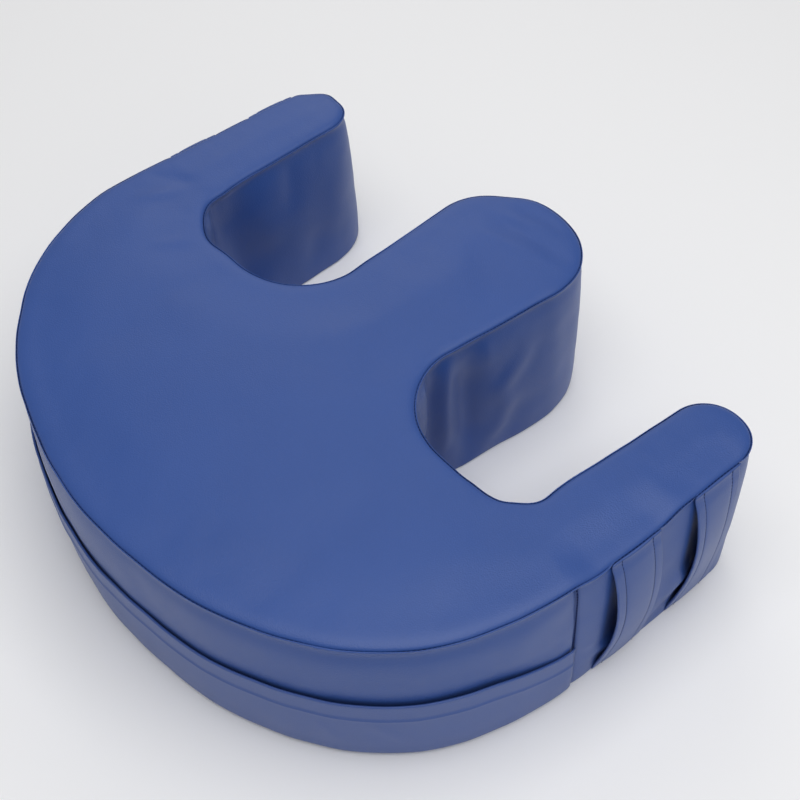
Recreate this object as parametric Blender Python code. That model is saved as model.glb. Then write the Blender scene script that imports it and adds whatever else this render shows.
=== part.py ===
"""Turning cushion for lying people: an E-shaped foam block in a sewn leatherette cover.

A leg lies in each of the two slots between the three arms. A long pocket runs round the
curved back, and two strap handles stand on the outer side of each outer arm.
Metres, +Z up. The arms point along +Y, and the base lies on z = 0.
"""

import math
from collections import namedtuple

import bmesh
import bpy
from mathutils import Vector
from mathutils.geometry import delaunay_2d_cdt

# Driving sizes of the cushion, measured at its seam line
WIDTH = 0.600  # across the two outer arms
DEPTH = 0.505  # from the back of the curve to the end of the middle arm
HEIGHT = 0.1685  # base to the top panel just inside its seam, before the crown

# Outline, in its own frame: y = 0 halfway along the depth
HALF_WIDTH = WIDTH / 2
BACK_Y = -DEPTH / 2
MIDDLE_ARM_END_Y = DEPTH / 2
SIDE_START_Y = -0.011  # where the curved back ends and the straight sides begin
BACK_POWER = 2.12  # 2 is an ellipse, and more is squarer
ARM_OUTER_X = 0.298
ARM_INNER_X = 0.232
ARM_END_Y = 0.200
SLOT_OUTER_X = 0.225
SLOT_INNER_X = 0.064
SLOT_FLOOR_Y = -0.009
SLOT_OUTER_CORNER = (0.055, 0.041)  # its reach along X and Y
SLOT_INNER_CORNER = (0.077, 0.072)
MIDDLE_ARM_HALF_WIDTH = 0.0735
MIDDLE_ARM_ROUND = 0.071  # how long its rounded end is
MIDDLE_ARM_POWER = 2.13

# Spacing of the points along the outline
BACK_STEP = 0.014
SIDE_STEP = 0.014
ARM_END_STEP = 0.0085
SLOT_STEP = 0.007
MIDDLE_ARM_STEP = 0.0085
FINE_TURN = 160  # points in an arc before it is spaced out

# The side wall's profile, from the base up: height, and how far it stands outside the seam line
Row = namedtuple("Row", "height outset")
WALL = (
    Row(0.0000, -0.0045),  # rim of the flat base
    Row(0.0014, -0.0010),
    Row(0.0045, 0.0006),
    Row(0.0280, 0.0018),
    Row(0.0620, 0.0024),
    Row(0.1000, 0.0024),
    Row(0.1350, 0.0018),
    Row(0.1560, 0.0008),
    Row(0.1640, 0.0012),  # the roll of the seam's turned-in edges
    Row(0.1656, 0.0000),  # the seam itself, in a shallow crease
)

# The top panel, from its seam inwards: distance from the seam line, and height below HEIGHT
Panel = namedtuple("Panel", "inset drop")
TOP_EDGE = (
    Panel(0.0012, 0.0014),
    Panel(0.0045, 0.0005),
    Panel(0.0120, 0.0001),
)
CROWN = 0.0030  # how much higher the middle of a wide part stands
CROWN_REACH = 0.060
PANEL_STEP = 0.030

# Loose folds of the cover's side wall: a place on the outline, how far along it the fold
# reaches, how deep it goes inwards (or outwards, if negative), and the heights it fades out at
Fold = namedtuple("Fold", "at_x at_y width depth low high")
FOLDS = (
    Fold(0.064, 0.052, 0.012, 0.0045, 0.010, 0.150),
    Fold(0.0655, 0.090, 0.016, 0.0030, 0.030, 0.160),
    Fold(0.080, 0.022, 0.014, 0.0035, 0.005, 0.140),
    Fold(-0.222, 0.030, 0.012, 0.0040, 0.020, 0.155),
    Fold(-0.228, 0.085, 0.022, 0.0025, 0.030, 0.150),
    Fold(-0.190, -0.002, 0.016, 0.0030, 0.010, 0.140),
    Fold(-0.066, 0.070, 0.016, 0.0035, 0.015, 0.150),
    Fold(0.215, 0.010, 0.014, 0.0035, 0.010, 0.150),
    Fold(0.299, 0.096, 0.020, 0.0040, 0.012, 0.152),
    Fold(0.298, 0.175, 0.012, 0.0030, 0.020, 0.150),
    Fold(-0.299, 0.094, 0.020, 0.0035, 0.012, 0.152),
    Fold(0.040, 0.251, 0.020, 0.0030, 0.030, 0.155),
    # the arms beside the slots lean out towards their base
    Fold(-0.250, 0.198, 0.026, -0.0048, -0.160, 0.160),
    Fold(-0.232, 0.155, 0.030, -0.0040, -0.160, 0.160),
    Fold(-0.232, 0.110, 0.030, -0.0040, -0.160, 0.160),
    Fold(-0.232, 0.065, 0.030, -0.0036, -0.160, 0.160),
    Fold(0.072, 0.130, 0.040, -0.0025, -0.140, 0.140),
)

# Soft hollows of the top panel, where the seams draw it in
Hollow = namedtuple("Hollow", "at_x at_y reach depth")
HOLLOWS = (
    Hollow(0.046, 0.028, 0.030, 0.0030),
    Hollow(-0.050, 0.030, 0.028, 0.0022),
    Hollow(0.238, -0.004, 0.026, 0.0022),
    Hollow(-0.238, 0.004, 0.028, 0.0028),
    Hollow(0.012, 0.165, 0.034, 0.0026),
    Hollow(-0.020, 0.205, 0.030, 0.0020),
    Hollow(-0.120, -0.150, 0.060, 0.0018),
    Hollow(0.150, -0.090, 0.055, 0.0018),
)

# Sewn-on pieces are a doubled leatherette, and stay this far from the cushion
CLOTH = 0.0024
GAP = 0.0003

# The pocket: a band sewn to the back along its lower edge and its two ends
POCKET_END_Y = -0.005
POCKET_LOW = 0.0040
POCKET_HIGH = 0.0940  # at the middle of the back
POCKET_HIGH_AT_ENDS = 0.0740
POCKET_FOLLOWS_WALL_TO = 0.0620  # the wall is upright above this, where the top edge rises
POCKET_STAND = 0.0045  # how far its open top edge stands off the wall
POCKET_SEWN = 0.0050  # height of the sewn lower edge
POCKET_LEVEL_STEP = 0.018
POCKET_END_REACH = 0.090  # length over which the stand closes towards an end

# The straps: flat handles sewn into the top and bottom seams, each at the y of its middle.
# Half way up, a strap's edge towards the back stands further off the wall than its other edge.
STRAP_WIDTH = 0.050
Strap = namedtuple("Strap", "word top_y bottom_y back_stand front_stand")
STRAPS = (
    Strap("near_pocket", 0.051, 0.052, 0.0125, 0.0075),
    Strap("near_tip", 0.142, 0.139, 0.0115, 0.0030),
)
STRAP_LOW = 0.0040
STRAP_HIGH = 0.1630
STRAP_BOW_POWER = 0.8  # 1 is a sine bow, and less is flatter in the middle
STRAP_SEWN = 0.0060  # height of each sewn end
STRAP_LEVEL_STEP = 0.010
STRAP_COLUMNS = 4

# Finishes
COVER_BLUE = (0.066, 0.113, 0.319, 1.0)
COVER_ROUGHNESS = 0.45
BAND_BLUE = (0.072, 0.118, 0.322, 1.0)
BAND_ROUGHNESS = 0.42
SHARP_ANGLE = math.radians(50)


def arc(centre, reach, start, end, power=2.0):
    """Points on a superellipse, from one angle to another, in degrees."""
    points = []
    for i in range(FINE_TURN + 1):
        angle = math.radians(start + (end - start) * i / FINE_TURN)
        c, s = math.cos(angle), math.sin(angle)
        x = centre[0] + reach[0] * math.copysign(abs(c) ** (2 / power), c)
        y = centre[1] + reach[1] * math.copysign(abs(s) ** (2 / power), s)
        points.append(Vector((x, y)))
    return points


def spaced(points, step):
    """The same line with even steps as close to the given one as its length allows."""
    lengths = [0.0]
    for a, b in zip(points, points[1:]):
        lengths.append(lengths[-1] + (b - a).length)
    count = max(1, round(lengths[-1] / step))
    result, i = [], 0
    for k in range(count + 1):
        target = lengths[-1] * k / count
        while i < len(points) - 2 and lengths[i + 1] < target:
            i += 1
        share = (target - lengths[i]) / max(lengths[i + 1] - lengths[i], 1e-12)
        result.append(points[i].lerp(points[i + 1], share))
    return result


def right_half_outline():
    """The seam line from the middle of the back, round the right arm, to the middle arm's end."""
    back_reach = (HALF_WIDTH, SIDE_START_Y - BACK_Y)
    back = arc((0, SIDE_START_Y), back_reach, -90, 0, BACK_POWER)
    arm_radius = (ARM_OUTER_X - ARM_INNER_X) / 2
    arm_centre = (ARM_INNER_X + arm_radius, ARM_END_Y - arm_radius)
    arm_end = arc(arm_centre, (arm_radius, arm_radius), 0, 180)
    outer_centre = (
        SLOT_OUTER_X - SLOT_OUTER_CORNER[0],
        SLOT_FLOOR_Y + SLOT_OUTER_CORNER[1],
    )
    inner_centre = (
        SLOT_INNER_X + SLOT_INNER_CORNER[0],
        SLOT_FLOOR_Y + SLOT_INNER_CORNER[1],
    )
    slot = arc(outer_centre, SLOT_OUTER_CORNER, 0, -90)
    slot += arc(inner_centre, SLOT_INNER_CORNER, -90, -180)
    middle_centre = (0, MIDDLE_ARM_END_Y - MIDDLE_ARM_ROUND)
    middle_reach = (MIDDLE_ARM_HALF_WIDTH, MIDDLE_ARM_ROUND)
    middle_end = arc(middle_centre, middle_reach, 0, 90, MIDDLE_ARM_POWER)
    stretches = (
        (back, BACK_STEP),
        ([back[-1], arm_end[0]], SIDE_STEP),
        (arm_end, ARM_END_STEP),
        ([arm_end[-1], slot[0]], MIDDLE_ARM_STEP),
        (slot, SLOT_STEP),
        ([slot[-1], middle_end[0]], MIDDLE_ARM_STEP),
        (middle_end, MIDDLE_ARM_STEP),
    )
    half = [back[0]]
    for line, step in stretches:
        half += spaced(line, step)[1:]
    return half


def whole_outline():
    """The closed seam line, counter-clockwise from the middle of the back."""
    half = right_half_outline()
    mirrored = [Vector((-p.x, p.y)) for p in half[-2:0:-1]]
    return half + mirrored


def outward_normals(line):
    """The outward direction at each point of a closed counter-clockwise line."""
    normals = []
    for i in range(len(line)):
        along = line[(i + 1) % len(line)] - line[i - 1]
        normals.append(Vector((along.y, -along.x)).normalized())
    return normals


OUTLINE = whole_outline()
NORMALS = outward_normals(OUTLINE)


def smooth(share):
    """0 to 1 with soft ends."""
    share = min(1.0, max(0.0, share))
    return share * share * (3 - 2 * share)


def wall_outset(height):
    """How far the wall's profile stands outside the seam line at a height."""
    for low, high in zip(WALL, WALL[1:]):
        if height <= high.height:
            share = (height - low.height) / (high.height - low.height)
            return low.outset + (high.outset - low.outset) * share
    return WALL[-1].outset


def levels(low, high, step):
    """Heights from low to high, through the wall's own rows, so that a sheet follows its bends."""
    bends = [low] + [row.height for row in WALL if low < row.height < high] + [high]
    result = [low]
    for a, b in zip(bends, bends[1:]):
        count = math.ceil((b - a) / step - 1e-6)
        result += [a + (b - a) * k / count for k in range(1, count + 1)]
    return result


def fold_depth(index, height):
    """How far the folds near an outline point push its wall inwards at a height."""
    depth = 0.0
    for fold in FOLDS:
        away = (OUTLINE[index] - Vector((fold.at_x, fold.at_y))).length
        along = math.exp(-((away / fold.width) ** 2))
        middle = (fold.low + fold.high) / 2
        half = (fold.high - fold.low) / 2
        up = smooth(1 - (abs(height - middle) / half) ** 2)
        depth += fold.depth * along * up
    return depth


def distance_to_seam(point):
    """The shortest distance from a point inside to the seam line."""
    return min((point - p).length for p in OUTLINE)


def top_height(point):
    """The height of the top panel at a place well inside its seam."""
    inwards = distance_to_seam(point) - TOP_EDGE[-1].inset
    height = HEIGHT + CROWN * smooth(inwards / CROWN_REACH)
    for hollow in HOLLOWS:
        away = (point - Vector((hollow.at_x, hollow.at_y))).length
        height -= hollow.depth * math.exp(-((away / hollow.reach) ** 2))
    return height


def material(name, colour, roughness):
    """A plain finish for one piece."""
    made = bpy.data.materials.new(name)
    made.use_nodes = True
    shader = made.node_tree.nodes["Principled BSDF"]
    shader.inputs["Base Color"].default_value = colour
    shader.inputs["Roughness"].default_value = roughness
    shader.inputs["Metallic"].default_value = 0.0
    made.diffuse_color = colour
    return made


def add_piece(name, bm, finish, parent):
    """Turns a bmesh into a named object of the scene."""
    mesh = bpy.data.meshes.new(name)
    bm.to_mesh(mesh)
    bm.free()
    mesh.materials.append(finish)
    mesh.shade_smooth()
    mesh.set_sharp_from_angle(angle=SHARP_ANGLE)
    piece = bpy.data.objects.new(name, mesh)
    bpy.context.scene.collection.objects.link(piece)
    piece.parent = parent
    return piece


def ring(bm, outset, height, fold=False):
    """One closed row of vertices round the cushion."""
    row = []
    for i, (point, normal) in enumerate(zip(OUTLINE, NORMALS)):
        reach = outset - (fold_depth(i, height) if fold else 0.0)
        place = point + normal * reach
        row.append(bm.verts.new((place.x, place.y, height)))
    return row


def band(bm, low, high):
    """Quads between two closed rows."""
    for i in range(len(low)):
        j = (i + 1) % len(low)
        bm.faces.new((low[i], low[j], high[j], high[i]))


def top_panel_middle(bm, rim):
    """Fills the top inside its last row, with points enough to carry the crown."""
    line = [Vector((v.co.x, v.co.y)) for v in rim]
    count = len(line)
    edges = [(i, (i + 1) % count) for i in range(count)]
    clear = TOP_EDGE[-1].inset + PANEL_STEP / 2
    inside = []
    columns = math.ceil(HALF_WIDTH / PANEL_STEP)
    rows = math.ceil(DEPTH / 2 / PANEL_STEP)
    for column in range(-columns, columns + 1):
        for row in range(-rows, rows + 1):
            point = Vector((column * PANEL_STEP, row * PANEL_STEP))
            if distance_to_seam(point) > clear and is_inside(point, line):
                inside.append(point)
    points, _, faces, _, _, _ = delaunay_2d_cdt(line + inside, edges, [], 1, 1e-6)
    made = list(rim)
    for point in points[count:]:
        made.append(bm.verts.new((point.x, point.y, top_height(point))))
    for face in faces:
        centre = sum((points[i] for i in face), Vector((0, 0))) / len(face)
        if is_inside(centre, line):
            bm.faces.new([made[i] for i in face])


def is_inside(point, line):
    """Whether a point lies inside a closed line."""
    inside = False
    for a, b in zip(line, line[1:] + line[:1]):
        if (a.y > point.y) != (b.y > point.y):
            if point.x < a.x + (point.y - a.y) * (b.x - a.x) / (b.y - a.y):
                inside = not inside
    return inside


def make_cushion(parent):
    """The filled cushion: a flat base, upright walls, a rolled seam and a crowned top."""
    bm = bmesh.new()
    rows = [ring(bm, row.outset, row.height, fold=True) for row in WALL]
    rows += [ring(bm, -edge.inset, HEIGHT - edge.drop) for edge in TOP_EDGE]
    for low, high in zip(rows, rows[1:]):
        band(bm, low, high)
    bm.faces.new(reversed(rows[0]))
    top_panel_middle(bm, rows[-1])
    bmesh.ops.recalc_face_normals(bm, faces=bm.faces)
    add_piece("cushion", bm, material("cover", COVER_BLUE, COVER_ROUGHNESS), parent)


def add_sheet(name, rows, finish, parent):
    """A sheet from rows of points, thickened outwards."""
    bm = bmesh.new()
    made = [[bm.verts.new(point) for point in row] for row in rows]
    for low, high in zip(made, made[1:]):
        for i in range(len(low) - 1):
            bm.faces.new((low[i], low[i + 1], high[i + 1], high[i]))
    bm.faces.ensure_lookup_table()
    bm.normal_update()
    away_from_middle = Vector((rows[0][0][0], rows[0][0][1], 0))
    if bm.faces[0].normal.dot(away_from_middle) < 0:
        bmesh.ops.reverse_faces(bm, faces=bm.faces)
    piece = add_piece(name, bm, finish, parent)
    thicken = piece.modifiers.new("thickness", "SOLIDIFY")
    thicken.thickness = CLOTH
    thicken.offset = 1.0
    thicken.use_even_offset = True


def is_under_pocket(point):
    """Whether an outline point is on the curved back, and not in a slot."""
    in_slot = abs(point.x) < SLOT_OUTER_X and point.y > 2 * SLOT_FLOOR_Y
    return point.y < POCKET_END_Y and not in_slot


def pocket_line():
    """The numbers of the outline's points under the pocket, from its left end to its right."""
    behind = [i for i, point in enumerate(OUTLINE) if is_under_pocket(point)]
    half = len(OUTLINE) / 2
    return [i for i in behind if i > half] + [i for i in behind if i < half]


def make_pocket(parent):
    """The long pocket: sewn at its lower edge and ends, and open along its top."""
    line = pocket_line()
    lengths = [0.0]
    for a, b in zip(line, line[1:]):
        lengths.append(lengths[-1] + (OUTLINE[b] - OUTLINE[a]).length)
    rows = []
    low_levels = levels(POCKET_LOW, POCKET_FOLLOWS_WALL_TO, POCKET_LEVEL_STEP)
    for level in low_levels + [None]:
        row = []
        for index, along in zip(line, lengths):
            to_end = min(along, lengths[-1] - along)
            open_share = smooth(to_end / POCKET_END_REACH)
            high = POCKET_HIGH_AT_ENDS + (POCKET_HIGH - POCKET_HIGH_AT_ENDS) * open_share
            height = high if level is None else level
            lift = smooth((height - POCKET_LOW - POCKET_SEWN) / (high - POCKET_LOW))
            stand = GAP + POCKET_STAND * open_share * lift
            reach = wall_outset(height) + stand
            place = OUTLINE[index] + NORMALS[index] * reach
            row.append((place.x, place.y, height))
        rows.append(row)
    add_sheet("pocket", rows, material("pocket_band", BAND_BLUE, BAND_ROUGHNESS), parent)


def side_place(y, side):
    """A point and outward normal on an outer arm's straight side."""
    start = Vector((HALF_WIDTH, SIDE_START_Y))
    end = Vector((ARM_OUTER_X, ARM_END_Y - (ARM_OUTER_X - ARM_INNER_X) / 2))
    share = (y - start.y) / (end.y - start.y)
    place = start.lerp(end, share)
    along = (end - start).normalized()
    return Vector((side * place.x, y)), Vector((side * along.y, -along.x))


def make_strap(name, strap, side, finish, parent):
    """One strap handle, bowed away from the arm between its sewn ends."""
    rows = []
    for height in levels(STRAP_LOW, STRAP_HIGH, STRAP_LEVEL_STEP):
        free_low = STRAP_LOW + STRAP_SEWN
        free_high = STRAP_HIGH - STRAP_SEWN
        share = min(1.0, max(0.0, (height - free_low) / (free_high - free_low)))
        bow = math.sin(math.pi * share) ** STRAP_BOW_POWER
        up = (height - STRAP_LOW) / (STRAP_HIGH - STRAP_LOW)
        centre_y = strap.bottom_y + (strap.top_y - strap.bottom_y) * up
        row = []
        for column in range(STRAP_COLUMNS + 1):
            across = column / STRAP_COLUMNS
            y = centre_y + STRAP_WIDTH * (across - 0.5)
            edge_stand = strap.back_stand + (strap.front_stand - strap.back_stand) * across
            stand = GAP + edge_stand * bow
            point, normal = side_place(y, side)
            place = point + normal * (wall_outset(height) + stand)
            row.append((place.x, place.y, height))
        rows.append(row)
    add_sheet(name, rows, finish, parent)


def main():
    for obj in list(bpy.data.objects):
        bpy.data.objects.remove(obj, do_unlink=True)
    centre = bpy.data.objects.new("base_centre", None)
    bpy.context.scene.collection.objects.link(centre)
    # The pocket widens the depth on one side, and the origin stays under the box's middle.
    pocket_reach = wall_outset(POCKET_HIGH) + GAP + POCKET_STAND + CLOTH
    front_reach = max(row.outset for row in WALL)
    centre.location = (0, (pocket_reach - front_reach) / 2, 0)
    make_cushion(centre)
    make_pocket(centre)
    strap_band = material("strap_band", BAND_BLUE, BAND_ROUGHNESS)
    for side, word in ((1, "right"), (-1, "left")):
        for strap in STRAPS:
            make_strap(f"strap_{word}_{strap.word}", strap, side, strap_band, centre)


main()
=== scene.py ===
"""Looks of the turning cushion: its sewn cover, pocket, strap handles, stitching and studio.

The file is laid out as an add-on and is run as a script. Metres, +Z up, in the frame of the
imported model: the arms point along +Y, and the base lies on z = 0.
"""

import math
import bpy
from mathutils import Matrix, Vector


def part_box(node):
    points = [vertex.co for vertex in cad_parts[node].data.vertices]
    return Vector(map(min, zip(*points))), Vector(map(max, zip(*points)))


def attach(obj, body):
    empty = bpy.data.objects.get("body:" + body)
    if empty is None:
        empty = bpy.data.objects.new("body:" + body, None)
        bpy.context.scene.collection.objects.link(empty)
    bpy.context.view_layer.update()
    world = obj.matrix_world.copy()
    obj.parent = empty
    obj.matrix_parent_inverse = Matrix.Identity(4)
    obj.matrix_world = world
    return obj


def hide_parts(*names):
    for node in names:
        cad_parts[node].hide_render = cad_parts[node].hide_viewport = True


bl_info = {
    "name": "Turning Cushion",
    "version": (1, 0, 0),
    "blender": (4, 5, 0),
    "location": "3D View > Sidebar > Cushion",
    "description": "Builds the cover, pocket, straps and stitching of a turning cushion",
    "category": "Add Mesh",
}

from collections import namedtuple

import bmesh
import bpy
import numpy as np
from bpy.props import FloatProperty, FloatVectorProperty, IntProperty, PointerProperty
from mathutils import Matrix, Vector, noise
from mathutils.geometry import delaunay_2d_cdt

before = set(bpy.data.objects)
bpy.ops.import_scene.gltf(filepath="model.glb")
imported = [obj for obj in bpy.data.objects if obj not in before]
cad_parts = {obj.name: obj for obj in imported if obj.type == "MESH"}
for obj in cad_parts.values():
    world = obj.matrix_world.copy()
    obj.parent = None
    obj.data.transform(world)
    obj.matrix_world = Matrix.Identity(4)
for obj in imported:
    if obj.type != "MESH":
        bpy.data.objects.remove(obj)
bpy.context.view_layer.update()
CUSHION_LOW, CUSHION_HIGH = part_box("cushion")
MIDDLE_Y = (CUSHION_LOW[1] + CUSHION_HIGH[1]) / 2
WALL_BULGE = 0.0024  # how far the wall's widest level stands outside the seam line
MM = 0.001
SEED = 7

# Plan of the seam line, as reaches from the cushion's middle, with y = 0 at half its depth
SIDE_START_Y = -0.011
BACK_POWER = 2.12
ARM_TAPER = 0.002  # how much nearer the middle an arm's outer side is at its end
ARM_END_Y = 0.200
SLOT_FLOOR_Y = -0.009
SLOT_INNER_X = 0.064
SLOT_OUTER_X = 0.225
SLOT_OUTER_CORNER = (0.055, 0.041)
SLOT_INNER_CORNER = (0.077, 0.072)
MIDDLE_ARM_ROUND = 0.071
MIDDLE_ARM_POWER = 2.13

# Section of the cover from the middle of the base to the middle of the top:
# distance outside the seam line and height. Held rows don't move when the cover is relaxed.
Row = namedtuple("Row", "outset height held")
BASE_ROWS = (
    Row(-0.0240, 0.0000, True),
    Row(-0.0080, 0.0000, True),
    Row(-0.0028, 0.0000, True),
    Row(-0.0011, 0.0002, True),
    Row(-0.0002, 0.0010, True),
    Row(0.0003, 0.0028, True),
    Row(0.0008, 0.0075, True),
)
WALL_FREE_ROWS = 17
WALL_FREE_LOW = 0.0145
WALL_FREE_HIGH = 0.1470
WALL_LEVELS = (0.0075, 0.0280, 0.0620, 0.1000, 0.1300, 0.1420, 0.1490)
WALL_OUTSETS = (0.0008, 0.0018, 0.0024, 0.0024, 0.0019, 0.0014, 0.0009)
SEAM_ROWS = (
    Row(0.0003, 0.1530, True),
    Row(-0.0006, 0.1570, True),  # trough below the seam allowance
    Row(-0.0009, 0.1602, True),
    Row(-0.0003, 0.1626, True),
    Row(0.0006, 0.1642, True),  # roll of the seam allowance
    Row(0.0009, 0.1654, True),
    Row(0.0005, 0.1662, True),
    Row(0.0000, 0.1660, True),
    Row(-0.0002, 0.1650, True),
    Row(-0.0004, 0.1640, True),  # bottom of the stitched crease
    Row(-0.0006, 0.1651, True),
    Row(-0.0010, 0.1664, True),
    Row(-0.0020, 0.1674, True),
    Row(-0.0038, 0.1682, True),
)
TOP_ROWS = (
    Row(-0.0072, 0.1689, False),
    Row(-0.0130, 0.1693, False),
)
GROOVE_OUTSET = -0.0004
GROOVE_HEIGHT = 0.1655
LEANS_FROM = 0.1600  # leaning walls stand out ever more from here down
FOLDS_HELD_FROM = 0.1635  # folds of the wall end here, at the seam allowance

# Folds of the wall. A path runs over the wall as distances along the seam line from the middle
# of the back, and heights. A fold is as deep inwards as given on its path, less so at its ends,
# and fades over one width on the side before the path and over the other behind it.
# A negative depth is a ridge.
Fold = namedtuple("Fold", "depth before after path")
FOLDS = (
    # middle arm's right side, from the slot's corner to its end
    Fold(-0.0036, 0.014, 0.005, ((1.033, 0.080), (1.037, 0.178))),
    Fold(0.0076, 0.009, 0.010, ((1.052, 0.002), (1.051, 0.180))),
    Fold(-0.0028, 0.007, 0.007, ((1.067, 0.020), (1.071, 0.174))),
    Fold(0.0092, 0.013, 0.014, ((1.096, -0.010), (1.094, 0.060), (1.090, 0.160))),
    Fold(
        -0.0030, 0.009, 0.012,
        ((1.098, 0.004), (1.126, 0.035), (1.134, 0.062), (1.128, 0.086), (1.143, 0.102),
         (1.168, 0.116)),
    ),
    Fold(-0.0010, 0.006, 0.007, ((1.116, 0.118), (1.111, 0.160))),
    Fold(0.0018, 0.012, 0.016, ((1.138, 0.004), (1.156, 0.064))),
    Fold(0.0014, 0.010, 0.014, ((1.152, 0.078), (1.176, 0.132))),
    Fold(0.0012, 0.012, 0.018, ((1.214, 0.020), (1.205, 0.150))),
    # right slot's round floor, and the outer arm's inner side
    Fold(0.0034, 0.009, 0.008, ((1.026, -0.010), (1.022, 0.080))),
    Fold(-0.0022, 0.014, 0.012, ((1.002, 0.010), (0.998, 0.168))),
    Fold(0.0024, 0.014, 0.012, ((0.972, 0.000), (0.966, 0.120), (0.975, 0.168))),
    Fold(-0.0018, 0.018, 0.018, ((0.940, 0.020), (0.946, 0.168))),
    Fold(0.0020, 0.010, 0.014, ((0.905, 0.010), (0.899, 0.150))),
    Fold(0.0036, 0.008, 0.010, ((0.868, -0.010), (0.874, 0.172))),
    Fold(-0.0014, 0.014, 0.012, ((0.846, 0.010), (0.838, 0.160))),
    Fold(0.0018, 0.016, 0.012, ((0.790, 0.010), (0.802, 0.090), (0.796, 0.150))),
    Fold(-0.0010, 0.014, 0.016, ((0.748, 0.020), (0.738, 0.150))),
    # left outer arm's inner side
    Fold(-0.0034, 0.014, 0.005, ((1.733, 0.116), (1.737, 0.178))),
    Fold(0.0100, 0.018, 0.030, ((1.794, 0.004), (1.774, 0.066), (1.762, 0.112), (1.752, 0.180))),
    Fold(-0.0014, 0.014, 0.016, ((1.809, 0.060), (1.790, 0.150))),
    Fold(0.0022, 0.014, 0.016, ((1.848, 0.012), (1.861, 0.070))),
    Fold(0.0014, 0.010, 0.014, ((1.834, 0.100), (1.842, 0.165))),
    Fold(-0.0010, 0.012, 0.012, ((1.884, 0.030), (1.896, 0.140))),
    # left slot's floor, and the middle arm's left side
    Fold(-0.0028, 0.012, 0.012, ((1.714, 0.020), (1.706, 0.168))),
    Fold(0.0022, 0.014, 0.012, ((1.684, 0.000), (1.678, 0.120), (1.684, 0.168))),
    Fold(-0.0018, 0.018, 0.016, ((1.655, 0.010), (1.660, 0.160))),
    Fold(0.0034, 0.010, 0.010, ((1.580, 0.000), (1.583, 0.160))),
    Fold(-0.0015, 0.010, 0.010, ((1.556, 0.020), (1.552, 0.160))),
    Fold(0.0034, 0.012, 0.012, ((1.532, -0.010), (1.530, 0.150))),
    Fold(-0.0012, 0.012, 0.012, ((1.498, 0.010), (1.482, 0.120))),
    Fold(0.0016, 0.014, 0.014, ((1.452, 0.010), (1.466, 0.100))),
    # outer sides, drawn in behind the straps and fuller before them
    Fold(-0.0012, 0.004, 0.005, ((0.446, 0.067), (0.459, 0.061), (0.471, 0.067), (0.482, 0.069))),
    Fold(0.0008, 0.004, 0.005, ((0.448, 0.058), (0.460, 0.052), (0.474, 0.058))),
    Fold(-0.0068, 0.015, 0.012, ((0.477, 0.030), (0.481, 0.058))),
    Fold(-0.0040, 0.016, 0.006, ((0.462, 0.040), (0.465, 0.160))),
    Fold(-0.0070, 0.016, 0.010, ((0.562, 0.050), (0.566, 0.076))),
    Fold(-0.0036, 0.012, 0.006, ((0.549, 0.010), (0.555, 0.160))),
    Fold(-0.0040, 0.007, 0.014, ((2.143, 0.010), (2.140, 0.164))),
    Fold(-0.0028, 0.007, 0.012, ((2.060, 0.010), (2.052, 0.160))),
    Fold(0.0045, 0.011, 0.016, ((0.492, -0.010), (0.490, 0.172))),
    Fold(-0.0014, 0.007, 0.008, ((0.534, 0.042), (0.548, 0.051), (0.560, 0.057), (0.570, 0.055))),
    Fold(0.0024, 0.010, 0.010, ((0.536, 0.004), (0.548, 0.036))),
    Fold(-0.0016, 0.012, 0.008, ((0.540, 0.090), (0.538, 0.140))),
    Fold(0.0048, 0.013, 0.014, ((0.573, -0.010), (0.579, 0.172))),
    Fold(0.0016, 0.010, 0.012, ((0.618, -0.010), (0.616, 0.160))),
    Fold(0.0042, 0.016, 0.011, ((2.115, -0.010), (2.117, 0.172))),
    Fold(-0.0012, 0.008, 0.010, ((2.150, 0.060), (2.147, 0.150))),
    Fold(0.0026, 0.016, 0.016, ((2.068, 0.004), (2.072, 0.150))),
    Fold(0.0044, 0.014, 0.012, ((2.034, -0.010), (2.028, 0.172))),
    Fold(0.0024, 0.012, 0.010, ((1.990, -0.010), (1.988, 0.160))),
    # ends of the arms
    Fold(0.0022, 0.012, 0.014, ((1.262, 0.030), (1.272, 0.158))),
    Fold(0.0020, 0.014, 0.012, ((1.352, 0.010), (1.342, 0.150))),
    Fold(0.0014, 0.008, 0.010, ((0.686, 0.020), (0.690, 0.160))),
    Fold(0.0014, 0.010, 0.008, ((1.966, 0.010), (1.969, 0.160))),
    # curved back, below the seam and above the pocket
    Fold(0.0016, 0.007, 0.007, ((0.150, 0.1555), (0.300, 0.1555), (0.450, 0.1545))),
    Fold(0.0012, 0.007, 0.007, ((2.220, 0.1550), (2.400, 0.1555))),
    Fold(-0.0006, 0.004, 0.004, ((0.240, 0.104), (0.290, 0.113), (0.310, 0.121))),
    Fold(-0.0007, 0.004, 0.004, ((0.301, 0.126), (0.309, 0.133))),
    Fold(0.0009, 0.012, 0.014, ((0.196, 0.100), (0.212, 0.158))),
    Fold(0.0010, 0.014, 0.012, ((0.078, 0.100), (0.060, 0.156))),
    Fold(-0.0009, 0.016, 0.012, ((0.372, 0.098), (0.394, 0.150))),
    Fold(0.0010, 0.012, 0.010, ((0.418, 0.084), (0.426, 0.150))),
    Fold(0.0009, 0.014, 0.014, ((2.480, 0.100), (2.496, 0.156))),
    Fold(0.0010, 0.014, 0.014, ((2.318, 0.098), (2.304, 0.156))),
    Fold(0.0010, 0.012, 0.010, ((2.190, 0.084), (2.182, 0.150))),
)

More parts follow.
